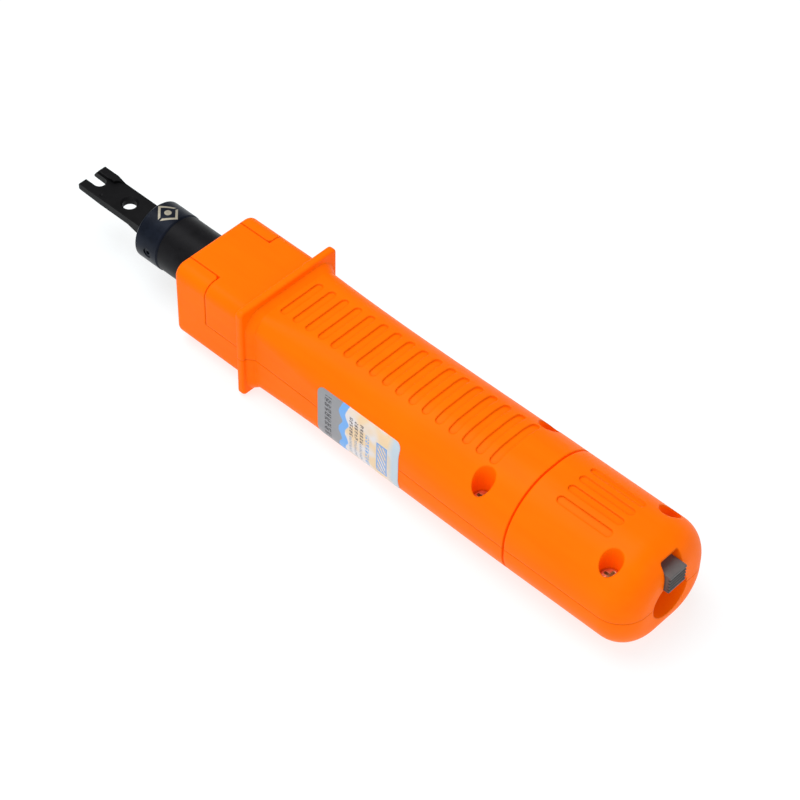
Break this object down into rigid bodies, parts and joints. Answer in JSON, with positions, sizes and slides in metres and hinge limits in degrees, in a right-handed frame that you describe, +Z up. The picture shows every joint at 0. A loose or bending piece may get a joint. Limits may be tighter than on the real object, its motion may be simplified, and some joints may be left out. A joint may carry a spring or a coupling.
{
  "type": "punch down tool",
  "caption": "Hand-held impact tool that pushes a wire into an insulation-displacement terminal and trims it, with a reversible forked blade and a lever for the impact force.",
  "frame": {"origin": "middle of the tool's footprint, on the plane through the rear cap's underside", "axes": "+X runs along the tool from the blade to the rear cap, +Z up, +Y across the tool"},
  "size_m": [0.18, 0.0302, 0.0277],
  "materials": {
    "shell_orange": "satin moulded ABS",
    "screw_steel": "yellow passivated steel",
    "label_print": "printed vinyl sticker",
    "bushing_bronze": "sintered bronze",
    "bumper_rubber": "moulded rubber",
    "barrel_black": "satin black oxide on steel",
    "collar_black": "blued steel",
    "blade_black": "black oxide tool steel",
    "spring_steel": "spring wire",
    "hardened_steel": "ground steel",
    "zinc_steel": "zinc plated steel",
    "acetal_white": "moulded acetal",
    "lever_grey": "moulded nylon"
  },
  "bodies": {
    "handle": {"upper_handle_shell": "shell_orange", "lower_handle_shell": "shell_orange", "upper_cap_shell": "shell_orange", "lower_cap_shell": "shell_orange", "handle_screws": "screw_steel", "cap_screws": "screw_steel", "side_label": "label_print", "nose_bushing": "bushing_bronze", "bumper_ring": "bumper_rubber", "guide_sleeve": "zinc_steel", "trigger_ramp": "hardened_steel", "lever_pivot_pin": "zinc_steel", "lever_washer": "spring_steel", "main_spring": "spring_steel"},
    "barrel": {"barrel": "barrel_black", "chuck_collar": "collar_black", "collar_set_screw": "hardened_steel", "detent_ball": "hardened_steel", "detent_spring": "spring_steel", "retaining_ring": "hardened_steel", "reset_spring": "spring_steel"},
    "blade": {"punch_blade": "blade_black", "blade_cutter": "blade_black"},
    "hammer": {"hammer": "hardened_steel", "latch_spring": "spring_steel"},
    "latch": {"latch_plate": "zinc_steel"},
    "lever": {"impact_lever": "lever_grey"},
    "spring_seat": {"adjuster_block": "acetal_white", "spring_guide_rod": "zinc_steel", "spring_washer": "zinc_steel"}
  },
  "joints": [
    {"name": "barrel_slide", "type": "slide", "parent": "handle", "child": "barrel", "axis": [1, 0, 0], "range_m": [0, 0.01], "stiffness_N_per_m": 3000, "springref_m": -0.002},
    {"name": "blade_twist", "type": "hinge", "parent": "barrel", "child": "blade", "pos_m": [-0.06175, 0, 0.015], "axis": [1, 0, 0], "range_deg": [0, 90]},
    {"name": "hammer_slide", "type": "slide", "parent": "handle", "child": "hammer", "axis": [1, 0, 0], "range_m": [0, 0.01], "deforming": ["main_spring"]},
    {"name": "latch_slide", "type": "slide", "parent": "hammer", "child": "latch", "axis": [0, 0, 1], "range_m": [0, 0.0008], "deforming": ["latch_spring"]},
    {"name": "lever_swing", "type": "hinge", "parent": "handle", "child": "lever", "pos_m": [0.06925, 0, 0.01535], "axis": [0, 1, 0], "range_deg": [0, 24]},
    {"name": "seat_slide", "type": "slide", "parent": "handle", "child": "spring_seat", "axis": [-1, 0, 0], "range_m": [0, 0.00315], "deforming": ["main_spring"]}
  ],
  "couplings": [
    {"joint": "hammer_slide", "follows": "barrel_slide", "ratio": 1},
    {"joint": "latch_slide", "follows": "barrel_slide", "ratio": 0.08},
    {"joint": "lever_swing", "follows": "seat_slide", "rad_per_m": 132.6}
  ]
}
